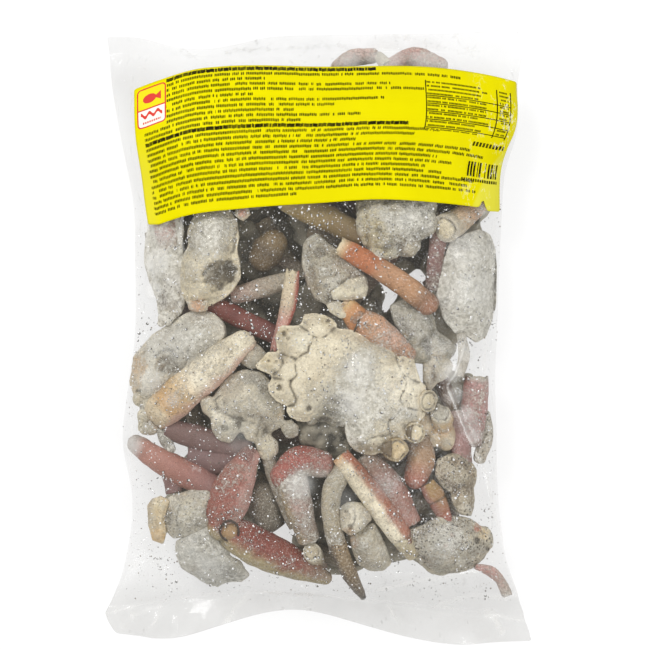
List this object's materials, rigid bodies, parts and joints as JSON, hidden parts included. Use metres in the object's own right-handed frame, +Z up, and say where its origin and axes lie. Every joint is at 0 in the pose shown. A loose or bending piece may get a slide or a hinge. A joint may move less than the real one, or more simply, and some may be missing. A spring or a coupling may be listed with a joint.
{
  "type": "bag of frozen crab",
  "caption": "Clear sealed pillow bag of frozen cut crab pieces with a plain yellow paper label across its upper part, lying on its back.",
  "frame": {"origin": "under the middle of the bag's box, on the surface that the bag lies on", "axes": "+Z up, +Y along the bag towards the seal next to the label, +X towards the bag's right side as its front is read"},
  "size_m": [0.218, 0.3154, 0.0501],
  "materials": {
    "film": "clear thin polythene film, wrinkled, a little frosted",
    "label": "smooth yellow printed paper with fine grey rows",
    "crab_shell": "cream, tan and pink-red crab shell under frost",
    "ice": "cloudy white glaze ice"
  },
  "bodies": {
    "root": {"bag": "film", "label": "label"}
  },
  "joints": []
}
